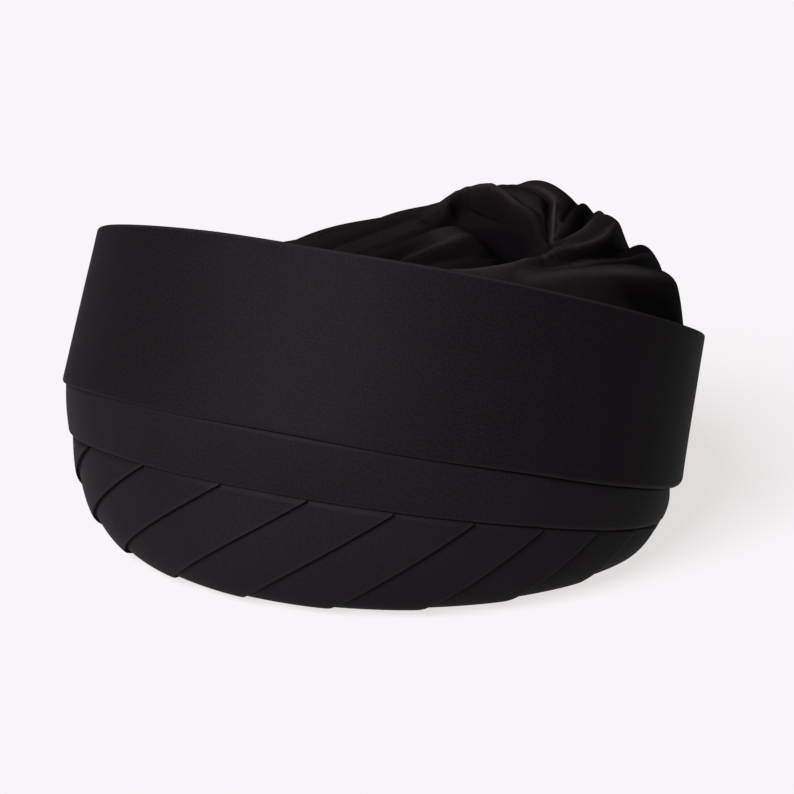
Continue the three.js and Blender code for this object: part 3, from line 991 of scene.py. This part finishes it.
# Each row has a fold's name, form, points, widths and rises, and a lapped one's falls and their widths.
FOLDS = (
    Fold(
        "rolled edge over the hollow", LAPPED,
        (
            (0.03, -0.50), (0.06, -0.20), (0.12, -0.05), (0.16, 0.07), (0.14, 0.18), (0.08, 0.28),
            (0.10, 0.37), (0.22, 0.33), (0.30, 0.29), (0.38, 0.29), (0.45, 0.19), (0.53, 0.125),
        ),
        (0.4, 0.5, 0.9, 1.05, 0.9, 0.5), (0.0, 0.6, 1.0, 1.9, 1.3, 0.5),
        (0.0, 0.7, 0.6, 0.8, 0.8, 0.5), (0.4, 0.5, 0.6, 0.6, 0.6, 0.4), 0.1, 1.6,
    ),
    Fold(
        "hollow", ROUND, ((0.20, 0.17), (0.35, 0.22), (0.45, 0.05)), (1.2, 1.4, 1.0), (-1.0, -1.6, -1.2)
    ),
    Fold(
        "swell under the arch", ROUND, ((0.10, 0.42), (0.20, 0.52), (0.38, 0.36)),
        (1.6, 1.8), (0.7, 0.7),
    ),
    Fold(
        "swirl", LAPPED,
        ((0.02, 0.68), (0.20, 0.60), (0.31, 0.53), (0.37, 0.43), (0.45, 0.30), (0.53, 0.17)),
        (0.5, 0.5, 0.4, 0.3), (0.1, 0.5, 1.0, 0.6), (0.1, 0.5, 0.7, 0.3), (0.4, 0.3, 0.25, 0.2),
    ),
    Fold(
        "petal over the back", ROUND, ((0.56, 0.13), (0.44, 0.42), (0.23, 0.64), (0.02, 0.90)),
        (0.7, 1.3), (0.3, 0.8),
    ),
    Fold("petal beside it", ROUND, ((0.54, 0.19), (0.50, 0.38), (0.32, 0.84)), (0.6, 0.8), (0.4, 0.9)),
    Fold(
        "crease between petals", SHARP, ((0.46, 0.36), (0.41, 0.46), (0.25, 0.88)),
        (0.2, 0.3), (-0.3, -0.5),
    ),
    Fold(
        "broad petal over its neighbour", LAPPED,
        ((0.34, 0.82), (0.42, 0.62), (0.49, 0.46), (0.53, 0.36), (0.545, 0.27), (0.545, 0.19)),
        (1.2, 1.0, 0.5, 0.3), (0.2, 0.3, 0.5, 0.2), (0.9, 1.0, 0.7, 0.2), (0.5, 0.45, 0.3, 0.2),
    ),
    Fold("broad petal", ROUND, ((0.58, 0.08), (0.58, 0.30), (0.44, 0.80)), (0.5, 0.8), (0.4, 0.8)),
    Fold(
        "broad petal over the side one", LAPPED,
        ((0.59, 0.05), (0.605, 0.15), (0.62, 0.24), (0.63, 0.33), (0.61, 0.44), (0.50, 0.68)),
        (0.3, 0.5, 0.7, 0.8), (0.1, 0.4, 0.6, 0.7), (0.2, 0.9, 1.3, 1.4), (0.4, 0.7, 0.9, 0.9),
    ),
    Fold("side petal", ROUND, ((0.66, 0.11), (0.70, 0.35), (0.62, 0.66)), (0.4, 1.1), (0.25, 1.2)),
    Fold(
        "side petal over the lowest one", LAPPED,
        ((0.62, -0.05), (0.68, 0.08), (0.705, 0.18), (0.725, 0.27), (0.74, 0.36), (0.69, 0.60)),
        (0.3, 0.4, 0.5, 0.8), (0.2, 0.4, 0.6, 0.9), (0.1, 0.5, 1.2, 1.7), (0.3, 0.4, 0.5, 0.7),
    ),
    Fold("lowest petal", ROUND, ((0.61, -0.08), (0.81, 0.03), (0.84, 0.49)), (0.5, 1.2), (0.4, 1.5)),
    Fold(
        "lowest petal over its tuck", LAPPED,
        ((0.64, -0.12), (0.75, 0.02), (0.81, 0.14), (0.85, 0.27), (0.85, 0.42), (0.79, 0.62)),
        (0.5, 0.8, 1.0, 1.0), (0.1, 0.3, 0.6, 0.7), (0.0, 0.6, 2.0, 2.2), (1.0, 1.3, 1.7, 1.7),
    ),
    Fold(
        "lip", LAPPED,
        (
            (0.565, 0.14), (0.56, 0.05), (0.555, -0.04), (0.54, -0.12), (0.50, -0.18), (0.44, -0.225),
            (0.36, -0.235), (0.24, -0.31),
        ),
        (0.3, 0.5, 0.5, 0.4, 0.3), (0.2, 0.7, 0.7, 0.6, 0.0), (0.4, 1.6, 1.5, 0.9, 0.0),
        (0.4, 0.7, 0.8, 0.6, 0.4),
    ),
    Fold(
        "pocket", ROUND, ((0.50, -0.04), (0.48, 0.04), (0.50, 0.12)),
        (0.6, 0.7, 0.4), (-0.8, -1.3, -0.8),
    ),
    Fold(
        "small fold in the pocket", ROUND, ((0.49, -0.15), (0.48, -0.07), (0.46, 0.03)),
        (0.25, 0.3), (0.5, 0.3),
    ),
    Fold("lump", ROUND, ((0.10, -0.42), (0.14, -0.10), (0.28, 0.07)), (0.4, 0.6, 0.8), (0.0, 0.6, 0.9)),
    Fold(
        "lump over the hollow", LAPPED,
        ((0.21, -0.42), (0.26, -0.14), (0.32, 0.00), (0.32, 0.11), (0.26, 0.12)),
        (0.4, 0.5, 0.7, 0.5), (0.0, 0.5, 0.7, 0.2), (0.0, 0.9, 0.9, 0.0), (0.5, 0.8, 0.7, 0.5),
    ),
    Fold(
        "first drawn fold", ROUND, ((-0.10, -0.58), (-0.02, -0.12), (0.06, 0.10)),
        (0.4, 0.4, 0.5), (0.0, 0.6, 0.6),
    ),
    Fold(
        "first drawn crease", SHARP, ((-0.16, -0.55), (-0.05, -0.08), (0.00, 0.12)),
        (0.5, 0.4, 0.5), (0.0, -1.4, -0.6),
    ),
    Fold(
        "fold on the outline", ROUND, ((-0.24, -0.52), (-0.11, -0.08), (-0.04, 0.16)),
        (0.6, 0.4, 0.5), (0.0, 0.4, 0.4),
    ),
    Fold(
        "second drawn crease", SHARP, ((0.15, -0.48), (0.16, -0.19), (0.20, -0.07)),
        (0.4, 0.4), (0.0, -1.5, -0.7),
    ),
    Fold("back fold", ROUND, ((0.02, 0.66), (-0.10, 0.78), (-0.16, 0.94)), (0.8, 1.0), (0.6, 0.65)),
    Fold(
        "back right fold", ROUND, ((-0.06, 0.52), (-0.30, 0.69), (-0.41, 0.85)), (0.9, 1.1), (0.25, 0.7)
    ),
    Fold(
        "right fold behind", ROUND, ((-0.11, 0.35), (-0.41, 0.49), (-0.67, 0.66)),
        (1.0, 1.2), (0.0, 0.8),
    ),
    Fold("right fold", ROUND, ((-0.13, 0.17), (-0.48, 0.22), (-0.84, 0.35)), (1.0, 1.2), (0.0, 0.8)),
    Fold(
        "right fold before", ROUND, ((-0.14, -0.03), (-0.48, -0.11), (-0.86, -0.08)),
        (0.9, 1.2), (0.0, 0.7),
    ),
    Fold(
        "front right fold", ROUND, ((-0.16, -0.22), (-0.41, -0.39), (-0.70, -0.44)),
        (0.8, 1.1), (0.0, 0.6),
    ),
    Fold(
        "crease behind on the right", SHARP, ((-0.10, 0.44), (-0.36, 0.58), (-0.58, 0.78)),
        (0.4, 0.7), (0.0, -0.7),
    ),
    Fold(
        "crease on the right", SHARP, ((-0.15, 0.27), (-0.46, 0.34), (-0.78, 0.50)),
        (0.4, 0.7), (0.0, -0.8),
    ),
    Fold(
        "crease before it", SHARP, ((-0.16, 0.08), (-0.50, 0.06), (-0.88, 0.13)),
        (0.4, 0.7), (0.0, -0.7),
    ),
    Fold(
        "crease in front on the right", SHARP, ((-0.16, -0.14), (-0.46, -0.27), (-0.82, -0.27)),
        (0.4, 0.6), (0.0, -0.6),
    ),
    Fold("front fold", ROUND, ((-0.11, -0.31), (-0.24, -0.52), (-0.40, -0.67)), (0.6, 0.8), (0.3, 0.4)),
    Fold(
        "front left fold", ROUND, ((0.29, -0.28), (0.30, -0.49), (0.27, -0.71)), (0.6, 0.8), (0.4, 0.4)
    ),
    Fold(
        "left fold before", ROUND, ((0.49, -0.24), (0.64, -0.39), (0.69, -0.49)), (0.8, 0.9), (0.4, 0.5)
    ),
)


@dataclass
class CrownDrape:
    """The soft crown: a full dome whose cloth is drawn together into folds at one gather."""

    laid: Laid
    folds: tuple[Fold, ...] = FOLDS
    height: float = 130.0
    top: tuple[float, float] = (0.11, 0.675)
    gather: tuple[float, float] = (0.54, 0.14)
    seat_front: float = 0.25
    seat_back: float = 0.86
    seat_power: float = 1.2
    skirt_foot: float = 0.15
    skirt_middle: float = 0.6
    full_towards: float = 118.0
    curve: tuple[float, float] = (1.2, 1.65)
    shoulder: tuple[float, float] = (1.1, 2.45)
    fold_rise: float = 6.0
    fold_width: float = 10.0
    fade_share: float = 0.04
    sharpness: float = 1.2
    lap: float = 2.4
    least_lap: float = 1.7
    # Painted shade: how deep a dent lies where its darkening is full.
    painted_shade_depth: float = 6.0
    # Painted highlight: how raised folds lighten, and the pale line along lapped edges.
    crest_light_rise: float = 22.0
    most_crest_light: float = 0.3
    edge_highlight: float = 0.9
    edge_highlight_place: float = 0.6
    edge_highlight_width: float = 1.6
    # Painted shade: how far the darkening under a lapped edge reaches.
    undershade_reach: float = 1.7
    columns: int = 560
    rings: int = 130
    lining_every: int = 4
    ring_power: float = 0.9
    crowding: float = 0.45
    crowded_towards: float = 130.0
    pole_depth: float = 1.5
    pucker: float = 0.25
    pucker_start: float = 9.0
    puckers: tuple[Puckers, ...] = (
        Puckers(1.0, 46, 55.0, 38.0, 21),
        Puckers(0.6, 22, 80.0, 90.0, 22, 7.0),
    )

    def skirt_seat(self, turn: np.ndarray) -> np.ndarray:
        """Height above which the skirt lies clear of what is tucked under the upper wrap."""
        stack = self.laid.stack
        return self.laid.form.upper.height(turn) + stack.lower_overlap + stack.seat_gap

    def edge_height(self, turn: np.ndarray) -> np.ndarray:
        """Height of the dome's edge, behind the rim."""
        share = mix(self.seat_back, self.seat_front, ((1 + np.cos(turn)) / 2) ** self.seat_power)
        return mix(self.skirt_seat(turn), self.laid.form.rim.height(turn), share)

    def edge(self, turn: np.ndarray) -> np.ndarray:
        """Points of the dome's edge."""
        return self.laid.form.wall(turn, self.edge_height(turn), self.laid.stack.crown_out)

    def place(self, share: tuple[float, float]) -> np.ndarray:
        """A plan place in millimetres, from shares of the wrap's half width and half length."""
        return np.array(share) * [self.laid.form.wrap_half_width, self.laid.form.wrap_half_length]

    def turn_towards(self, x: np.ndarray, y: np.ndarray, halvings: int = 34) -> np.ndarray:
        """The turn at which the edge lies in the plan direction of each point, seen from the top.

        Args:
            x: Plan places across.
            y: Plan places along.
            halvings: How often the stretch in which the turn lies is cut in half.

        Returns:
            The turns.
        """
        centre = self.place(self.top)
        low = np.arctan2(x - centre[0], centre[1] - y) - math.pi / 2
        high = low + math.pi
        for _ in range(halvings):
            middle = (low + high) / 2
            edge = self.edge(middle) - [*centre, 0]
            side = (x - centre[0]) * edge[..., 1] - (y - centre[1]) * edge[..., 0]
            low, high = np.where(side < 0, middle, low), np.where(side < 0, high, middle)
        return (low + high) / 2

    def dome(self, x: np.ndarray, y: np.ndarray) -> tuple[np.ndarray, np.ndarray]:
        """The smooth dome over plan points.

        Args:
            x: Plan places across.
            y: Plan places along.

        Returns:
            The heights, and the shares of the way out to the edge.
        """
        centre = self.place(self.top)
        edge = self.edge(self.turn_towards(x, y))
        reach = np.hypot(x - centre[0], y - centre[1])
        share = np.minimum(reach / np.hypot(edge[..., 0] - centre[0], edge[..., 1] - centre[1]), 1)
        direction = np.arctan2(x - centre[0], centre[1] - y)
        fullness = (1 + np.cos(direction - math.radians(self.full_towards))) / 2
        curve = mix(self.curve[0], self.curve[1], fullness)
        shoulder = mix(self.shoulder[0], self.shoulder[1], fullness)
        return mix(edge[..., 2], self.height, (1 - share**curve) ** (1 / shoulder)), share

    def fold_heights(self, x: np.ndarray, y: np.ndarray) -> tuple[np.ndarray, ...]:
        """What the folds do to the cloth over plan points.

        Args:
            x: Plan places across.
            y: Plan places along.

        Returns:
            How far folds lift the cloth, how far dents sink it, how strong the painted highlight along
            the lapped edges is, and how deep the painted shade on the cloth beside them is.
        """
        form = self.laid.form
        highest, deepest, rubbed_and_highlit, painted_undershade = np.zeros((4, *x.shape))
        for fold in self.folds:
            line = fold.line(form.wrap_half_width, form.wrap_half_length)
            nearest, along, side = beside(line, x, y)
            ratio = nearest / (self.fold_width * spread(fold.widths, along))
            rise = self.fold_rise * spread(fold.rises, along)
            if fold.form is FoldForm.SHARP:
                height = rise * np.exp(-self.sharpness * ratio)
            else:
                height = rise * np.exp(-ratio * ratio)
            if fold.form is FoldForm.LAPPED:
                turned = fold.turned * np.maximum(self.lap * spread(fold.widths, along), self.least_lap)
                left = side / turned
                over = smooth(0.5 + left / 2)
                fall = -self.fold_rise * spread(fold.falls, along)
                lower = nearest / (self.fold_width * spread(fold.fall_widths, along))
                height = height * over
                # Painted highlight: a thin pale line along each lapped edge, inside its turn.
                crest = (left - self.edge_highlight_place) * turned / self.edge_highlight_width
                past_end = (nearest * nearest - side * side) / self.edge_highlight_width**2
                edge_highlight = fold.edge_highlight * spread(fold.rises, along) * np.exp(-crest * crest - past_end)
                rubbed_and_highlit = np.maximum(rubbed_and_highlit, np.minimum(edge_highlight, 1))
                deepest = np.minimum(deepest, fall * np.exp(-lower * lower) * (1 - over))
                # Painted shade: the cloth on the right of a lapped edge, under it, is darkened.
                under = smooth(1 - left) * np.exp(-((lower / self.undershade_reach) ** 2))
                painted_undershade = np.minimum(painted_undershade, fall * under)
            highest, deepest = np.maximum(highest, height), np.minimum(deepest, height)
        return highest, deepest, rubbed_and_highlit, painted_undershade

    def puckered(self, x: np.ndarray, y: np.ndarray) -> np.ndarray:
        """Heights of the small wrinkles that run into the gather.

        Args:
            x: Plan places across.
            y: Plan places along.

        Returns:
            The heights.
        """
        centre = self.place(self.gather)
        distance = np.hypot(x - centre[0], y - centre[1])
        angle = np.arctan2(y - centre[1], x - centre[0]) / FULL_TURN + 0.5
        wrinkles = sum(kind.heights(angle, distance) for kind in self.puckers)
        return self.pucker * smooth(distance / self.pucker_start) * wrinkles

    def wear_and_painted_light(self, x: np.ndarray, y: np.ndarray) -> np.ndarray:
        """Painted light on the crown: highlights, most along its lapped edges, and shade the deeper it
        lies.

        Args:
            x: Plan places across.
            y: Plan places along.

        Returns:
            The painted light, which is below 0 where shade is painted on deep cloth.
        """
        highest, deepest, rubbed_and_highlit, painted_undershade = self.fold_heights(x, y)
        # Painted highlight: raised folds are lightened, up to a limit.
        painted_crest_light = np.clip((highest + deepest) / self.crest_light_rise, 0, self.most_crest_light)
        # Painted shade: dents and the cloth under lapped edges are darkened.
        painted_shade = np.clip(np.minimum(deepest, painted_undershade) / self.painted_shade_depth, -1, 0)
        return painted_crest_light + self.edge_highlight * rubbed_and_highlit + painted_shade

    def surface(self, x: np.ndarray, y: np.ndarray, half: float = 0.5) -> tuple[np.ndarray, np.ndarray]:
        """The crown's outer face over plan points.

        Args:
            x: Plan places across.
            y: Plan places along.
            half: Half of the millimetre over which the slope is taken.

        Returns:
            Its points, and the dome's normals there.
        """
        height, share = self.dome(x, y)
        slope_x = self.dome(x + half, y)[0] - self.dome(x - half, y)[0]
        slope_y = self.dome(x, y + half)[0] - self.dome(x, y - half)[0]
        normal = np.stack([-slope_x, -slope_y, np.ones_like(x)], -1)
        normal /= np.linalg.norm(normal, axis=-1, keepdims=True)
        fade = 1 - np.clip((share - 1 + self.fade_share) / self.fade_share, 0, 1) ** 2
        highest, deepest = self.fold_heights(x, y)[:2]
        lift = highest + deepest + self.puckered(x, y)
        return np.stack([x, y, height + lift * fade], -1), normal

    def build(self) -> bpy.types.Object:
        """Makes the crown's wall.

        Returns:
            The piece.
        """
        stack = self.laid.stack
        turn = turns(self.columns)
        turn = turn - self.crowding * np.sin(turn - math.radians(self.crowded_towards))
        centre = self.place(self.gather)
        edge = self.edge(turn)
        shares = (np.arange(1, self.rings) / self.rings) ** self.ring_power
        x = mix(centre[0], edge[:, 0], shares[:, None])
        y = mix(centre[1], edge[:, 1], shares[:, None])
        outer, normal = self.surface(x, y)
        outer[..., 2] = evened(outer[..., 2])
        # The crown's painted highlights and painted shade go into the attribute.
        wear_and_painted_light = evened(self.wear_and_painted_light(x, y))
        top, top_normal = self.surface(centre[:1], centre[1:])
        low = outer[..., 2].copy()
        for step in range(1, self.lining_every):
            low[step:] = np.minimum(low[step:], outer[:-step, :, 2])
            low[:-step] = np.minimum(low[:-step], outer[step:, :, 2])
        inner = np.stack([outer[..., 0], outer[..., 1], low], -1) - normal * stack.crown_wall
        wall = ClothWall(self.columns)
        for row in range(0, self.rings - 1, self.lining_every):
            wall.ring(inner[row])
        seat = self.skirt_seat(turn)
        high = self.edge_height(turn)
        for share, out, drop in (
            (1, stack.crown_in, stack.crown_wall),
            (self.skirt_foot, stack.crown_in, 0),
            (self.skirt_foot, stack.crown_out, 0),
            (self.skirt_middle, stack.crown_out, 0),
            (1, stack.crown_out, 0),
        ):
            wall.ring(self.laid.form.wall(turn, mix(seat, high, share) - drop, out))
        for row in range(self.rings - 2, -1, -1):
            wall.ring(outer[row], wear_and_painted_light[row])
        poles = [(top - top_normal * (stack.crown_wall + self.pole_depth))[0], top[0]]
        return wall.finish("crown_cloth", self.laid.origin, wall.fanned_out(top[0]), poles)

    def dress(self, piece: bpy.types.Object, cloth: bpy.types.Material) -> None:
        """Gives the crown its cloth and its place in the model.

        Args:
            piece: The crown as built.
            cloth: Its material.
        """
        piece.data.materials.append(cloth)
        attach(piece, "root")
        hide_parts("crown_drape")


@dataclass
class Studio:
    """The pale floor, the soft light and the camera."""

    laid: Laid
    azimuth: float = 36.4
    elevation: float = 15.9
    distance: float = 796.0
    aim_right: float = 5.94
    aim_up: float = 49.84
    lens: float = 85.0
    sensor: float = 36.0
    surround: Stretch = Stretch(0.02, 0.30, 0.12, 0.04)
    key: float = 9.0
    key_azimuth: float = 4.0
    key_elevation: float = 34.0
    key_softness: float = 34.0
    floor_side: float = 14.0
    floor_colour: tuple[float, ...] = (0.125, 0.128, 0.150, 1)
    floor_glow: tuple[float, ...] = (1.0, 0.958, 0.944, 1)
    floor_glow_strength: float = 0.734

    def place_camera(self) -> None:
        """Puts the camera at the photograph's viewing angle."""
        turn = math.radians(self.azimuth)
        right = Vector((math.cos(turn), math.sin(turn), 0))
        back = towards(self.azimuth, self.elevation)
        up = back.cross(right)
        aim = right * self.aim_right + up * self.aim_up + self.laid.origin
        data = bpy.data.cameras.new("camera")
        data.lens = self.lens
        data.sensor_width = self.sensor
        camera = bpy.data.objects.new("camera", data)
        bpy.context.scene.collection.objects.link(camera)
        camera.location = (aim + back * self.distance) * MM
        camera.rotation_euler = back.to_track_quat("Z", "Y").to_euler()
        bpy.context.scene.camera = camera

    def lay_floor(self) -> None:
        """Lays the pale floor, which fills the picture behind the turban.

        It is matt paper without gloss, and its own light makes it nearly white all over, so that only the
        turban's soft shadow shows on it.
        """
        half = self.floor_side / 2
        mesh = bpy.data.meshes.new("floor")
        corners = [(-half, -half, 0), (half, -half, 0), (half, half, 0), (-half, half, 0)]
        mesh.from_pydata(corners, [], [(0, 1, 2, 3)])
        material = bpy.data.materials.new("matt_paper")
        material.use_nodes = True
        sockets = material.node_tree.nodes["Principled BSDF"].inputs
        for name, value in (
            ("Base Color", self.floor_colour),
            ("Emission Color", self.floor_glow),
            ("Emission Strength", self.floor_glow_strength),
            ("Roughness", 1.0),
            ("Specular IOR Level", 0.0),
        ):
            sockets[name].default_value = value
        mesh.materials.append(material)
        floor = bpy.data.objects.new("floor", mesh)
        bpy.context.scene.collection.objects.link(floor)

    def light(self) -> None:
        """Sets the even surround and one very soft key light from the upper left, in front."""
        scene = bpy.context.scene
        scene.view_settings.view_transform = "Standard"
        world = bpy.data.worlds.new("surround")
        world.use_nodes = True
        tree = world.node_tree
        tree.nodes.clear()
        view = add_node(tree, "ShaderNodeTexCoord")
        parts = add_node(tree, "ShaderNodeSeparateXYZ", Vector=view.outputs["Generated"])
        soft = {"interpolation_type": "SMOOTHSTEP"}
        level = add_node(
            tree, "ShaderNodeMapRange", soft, Value=parts.outputs["Z"], **self.surround.sockets()
        )
        white = (1, 1, 1, 1)
        glow = add_node(tree, "ShaderNodeBackground", Color=white, Strength=level.outputs["Result"])
        add_node(tree, "ShaderNodeOutputWorld", Surface=glow.outputs["Background"])
        scene.world = world
        data = bpy.data.lights.new("key", "SUN")
        data.energy = self.key
        data.angle = math.radians(self.key_softness)
        back = towards(self.key_azimuth, self.key_elevation)
        lamp = bpy.data.objects.new("key", data)
        lamp.rotation_euler = back.to_track_quat("Z", "Y").to_euler()
        scene.collection.objects.link(lamp)


def main() -> None:
    """Builds the turban and its studio."""
    logging.basicConfig(level=logging.INFO, format="%(message)s")
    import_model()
    laid = Laid(TurbanForm(), ClothStack(), FORM_ORIGIN)
    studio = Studio(laid)
    studio.place_camera()
    studio.lay_floor()
    studio.light()
    wrap = BlackCrepe("black_cotton_crepe").make()
    # The narrow wrap and the pleats get a lighter dye, which paints the brighter light on the lower pieces.
    low = {"gloss": 0.042, "deep": Shade.LOW_DEEP_PAINTED_LIGHTER, "plain": Shade.LOW_PLAIN_PAINTED_LIGHTER}
    narrow = BlackCrepe("black_cotton_crepe_narrow", **low).make()
    pleats = BlackCrepe("black_cotton_crepe_pleated", grain=0.8, **low).make()
    drape = BlackCrepe(
        "black_cotton_crepe_draped",
        gloss=0.013,
        roughness=0.85,
        deep=Shade.DRAPED_DEEP,
        plain=Shade.DRAPED_PLAIN,
        rubbed_and_highlit=Shade.DRAPED_RUBBED_AND_HIGHLIT,
    ).make()
    for maker, cloth in (
        (PleatedBase(laid), pleats),
        (LowerBand(laid), narrow),
        (UpperBand(laid), wrap),
        (CrownDrape(laid), drape),
    ):
        piece = maker.build()
        maker.dress(piece, cloth)
        LOG.info("%s: %d faces", piece.name, len(piece.data.polygons))


if __name__ == "__main__":
    main()
